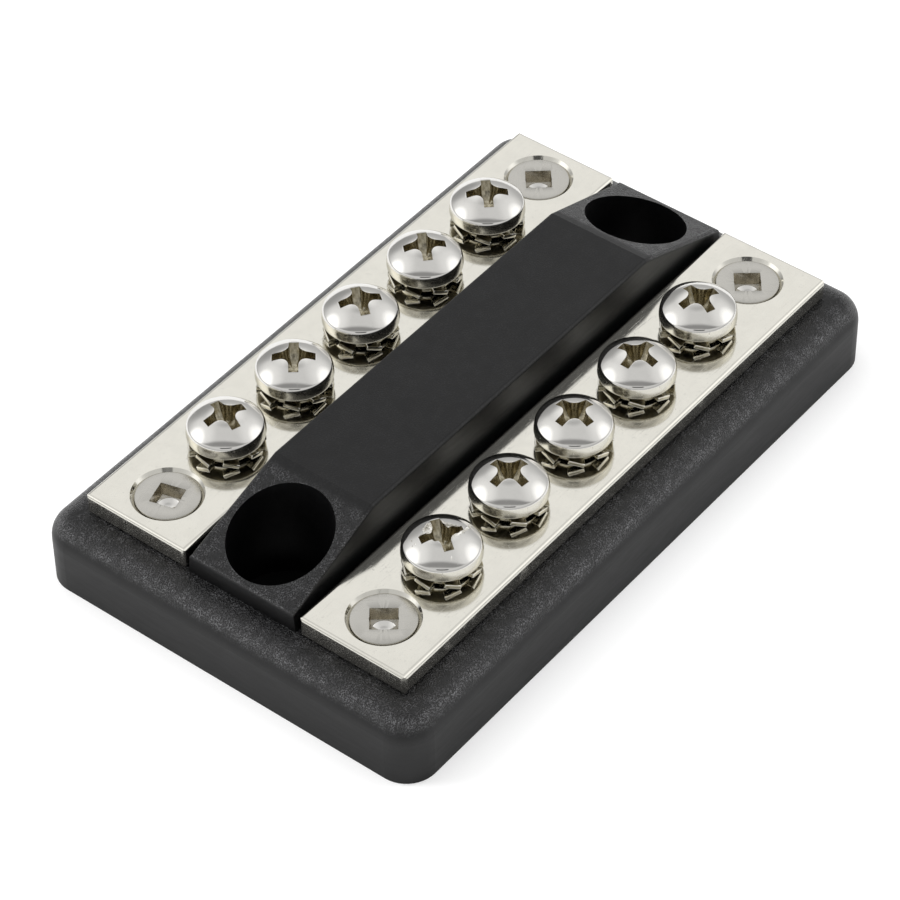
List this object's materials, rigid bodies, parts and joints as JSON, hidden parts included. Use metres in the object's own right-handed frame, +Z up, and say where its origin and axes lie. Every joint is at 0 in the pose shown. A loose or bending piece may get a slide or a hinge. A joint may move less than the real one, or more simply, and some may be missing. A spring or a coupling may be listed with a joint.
{
  "type": "bus bar",
  "caption": "Wiring bus bar: plated strips of screw terminals either side of a raised barrier, on a black moulded base with counterbored mounting holes.",
  "frame": {"origin": "middle of the base's underside", "axes": "+X along the bars, +Y across them, +Z up out of the mounting surface"},
  "size_m": [0.0768, 0.047, 0.0149],
  "materials": {
    "base_plastic": "fine moulded grain",
    "bar_plate": "bright nickel plate",
    "screw_plate": "bright nickel plate",
    "washer_plate": "bright nickel plate",
    "retainer_steel": "satin",
    "nut_steel": "satin"
  },
  "bodies": {
    "base": {"base": "base_plastic", "bus_bar_left": "bar_plate", "retaining_screw_left_1": "retainer_steel", "retaining_nut_left_1": "nut_steel", "retaining_screw_left_2": "retainer_steel", "retaining_nut_left_2": "nut_steel", "bus_bar_right": "bar_plate", "retaining_screw_right_1": "retainer_steel", "retaining_nut_right_1": "nut_steel", "retaining_screw_right_2": "retainer_steel", "retaining_nut_right_2": "nut_steel"},
    "washer_left_1": {"lock_washer_left_1": "washer_plate"},
    "screw_left_1": {"terminal_screw_left_1": "screw_plate"},
    "washer_left_2": {"lock_washer_left_2": "washer_plate"},
    "screw_left_2": {"terminal_screw_left_2": "screw_plate"},
    "washer_left_3": {"lock_washer_left_3": "washer_plate"},
    "screw_left_3": {"terminal_screw_left_3": "screw_plate"},
    "washer_left_4": {"lock_washer_left_4": "washer_plate"},
    "screw_left_4": {"terminal_screw_left_4": "screw_plate"},
    "washer_left_5": {"lock_washer_left_5": "washer_plate"},
    "screw_left_5": {"terminal_screw_left_5": "screw_plate"},
    "washer_right_1": {"lock_washer_right_1": "washer_plate"},
    "screw_right_1": {"terminal_screw_right_1": "screw_plate"},
    "washer_right_2": {"lock_washer_right_2": "washer_plate"},
    "screw_right_2": {"terminal_screw_right_2": "screw_plate"},
    "washer_right_3": {"lock_washer_right_3": "washer_plate"},
    "screw_right_3": {"terminal_screw_right_3": "screw_plate"},
    "washer_right_4": {"lock_washer_right_4": "washer_plate"},
    "screw_right_4": {"terminal_screw_right_4": "screw_plate"},
    "washer_right_5": {"lock_washer_right_5": "washer_plate"},
    "screw_right_5": {"terminal_screw_right_5": "screw_plate"}
  },
  "joints": [
    {"name": "lift_left_1", "type": "slide", "parent": "base", "child": "washer_left_1", "axis": [0, 0, 1], "range_m": [0, 0.00635]},
    {"name": "turn_left_1", "type": "hinge", "parent": "washer_left_1", "child": "screw_left_1", "pos_m": [-0.021, 0.0135, 0.01205], "axis": [0, 0, 1], "range_deg": [0, 2881]},
    {"name": "lift_left_2", "type": "slide", "parent": "base", "child": "washer_left_2", "axis": [0, 0, 1], "range_m": [0, 0.00635]},
    {"name": "turn_left_2", "type": "hinge", "parent": "washer_left_2", "child": "screw_left_2", "pos_m": [-0.0105, 0.0135, 0.01205], "axis": [0, 0, 1], "range_deg": [0, 2881]},
    {"name": "lift_left_3", "type": "slide", "parent": "base", "child": "washer_left_3", "axis": [0, 0, 1], "range_m": [0, 0.00635]},
    {"name": "turn_left_3", "type": "hinge", "parent": "washer_left_3", "child": "screw_left_3", "pos_m": [0, 0.0135, 0.01205], "axis": [0, 0, 1], "range_deg": [0, 2881]},
    {"name": "lift_left_4", "type": "slide", "parent": "base", "child": "washer_left_4", "axis": [0, 0, 1], "range_m": [0, 0.00635]},
    {"name": "turn_left_4", "type": "hinge", "parent": "washer_left_4", "child": "screw_left_4", "pos_m": [0.0105, 0.0135, 0.01205], "axis": [0, 0, 1], "range_deg": [0, 2881]},
    {"name": "lift_left_5", "type": "slide", "parent": "base", "child": "washer_left_5", "axis": [0, 0, 1], "range_m": [0, 0.00635]},
    {"name": "turn_left_5", "type": "hinge", "parent": "washer_left_5", "child": "screw_left_5", "pos_m": [0.021, 0.0135, 0.01205], "axis": [0, 0, 1], "range_deg": [0, 2881]},
    {"name": "lift_right_1", "type": "slide", "parent": "base", "child": "washer_right_1", "axis": [0, 0, 1], "range_m": [0, 0.00635]},
    {"name": "turn_right_1", "type": "hinge", "parent": "washer_right_1", "child": "screw_right_1", "pos_m": [-0.021, -0.0135, 0.01205], "axis": [0, 0, 1], "range_deg": [0, 2881]},
    {"name": "lift_right_2", "type": "slide", "parent": "base", "child": "washer_right_2", "axis": [0, 0, 1], "range_m": [0, 0.00635]},
    {"name": "turn_right_2", "type": "hinge", "parent": "washer_right_2", "child": "screw_right_2", "pos_m": [-0.0105, -0.0135, 0.01205], "axis": [0, 0, 1], "range_deg": [0, 2881]},
    {"name": "lift_right_3", "type": "slide", "parent": "base", "child": "washer_right_3", "axis": [0, 0, 1], "range_m": [0, 0.00635]},
    {"name": "turn_right_3", "type": "hinge", "parent": "washer_right_3", "child": "screw_right_3", "pos_m": [0, -0.0135, 0.01205], "axis": [0, 0, 1], "range_deg": [0, 2881]},
    {"name": "lift_right_4", "type": "slide", "parent": "base", "child": "washer_right_4", "axis": [0, 0, 1], "range_m": [0, 0.00635]},
    {"name": "turn_right_4", "type": "hinge", "parent": "washer_right_4", "child": "screw_right_4", "pos_m": [0.0105, -0.0135, 0.01205], "axis": [0, 0, 1], "range_deg": [0, 2881]},
    {"name": "lift_right_5", "type": "slide", "parent": "base", "child": "washer_right_5", "axis": [0, 0, 1], "range_m": [0, 0.00635]},
    {"name": "turn_right_5", "type": "hinge", "parent": "washer_right_5", "child": "screw_right_5", "pos_m": [0.021, -0.0135, 0.01205], "axis": [0, 0, 1], "range_deg": [0, 2881]}
  ],
  "couplings": [
    {"joint": "turn_left_1", "follows": "lift_left_1", "rad_per_m": 7915.8},
    {"joint": "turn_left_2", "follows": "lift_left_2", "rad_per_m": 7915.8},
    {"joint": "turn_left_3", "follows": "lift_left_3", "rad_per_m": 7915.8},
    {"joint": "turn_left_4", "follows": "lift_left_4", "rad_per_m": 7915.8},
    {"joint": "turn_left_5", "follows": "lift_left_5", "rad_per_m": 7915.8},
    {"joint": "turn_right_1", "follows": "lift_right_1", "rad_per_m": 7915.8},
    {"joint": "turn_right_2", "follows": "lift_right_2", "rad_per_m": 7915.8},
    {"joint": "turn_right_3", "follows": "lift_right_3", "rad_per_m": 7915.8},
    {"joint": "turn_right_4", "follows": "lift_right_4", "rad_per_m": 7915.8},
    {"joint": "turn_right_5", "follows": "lift_right_5", "rad_per_m": 7915.8}
  ]
}
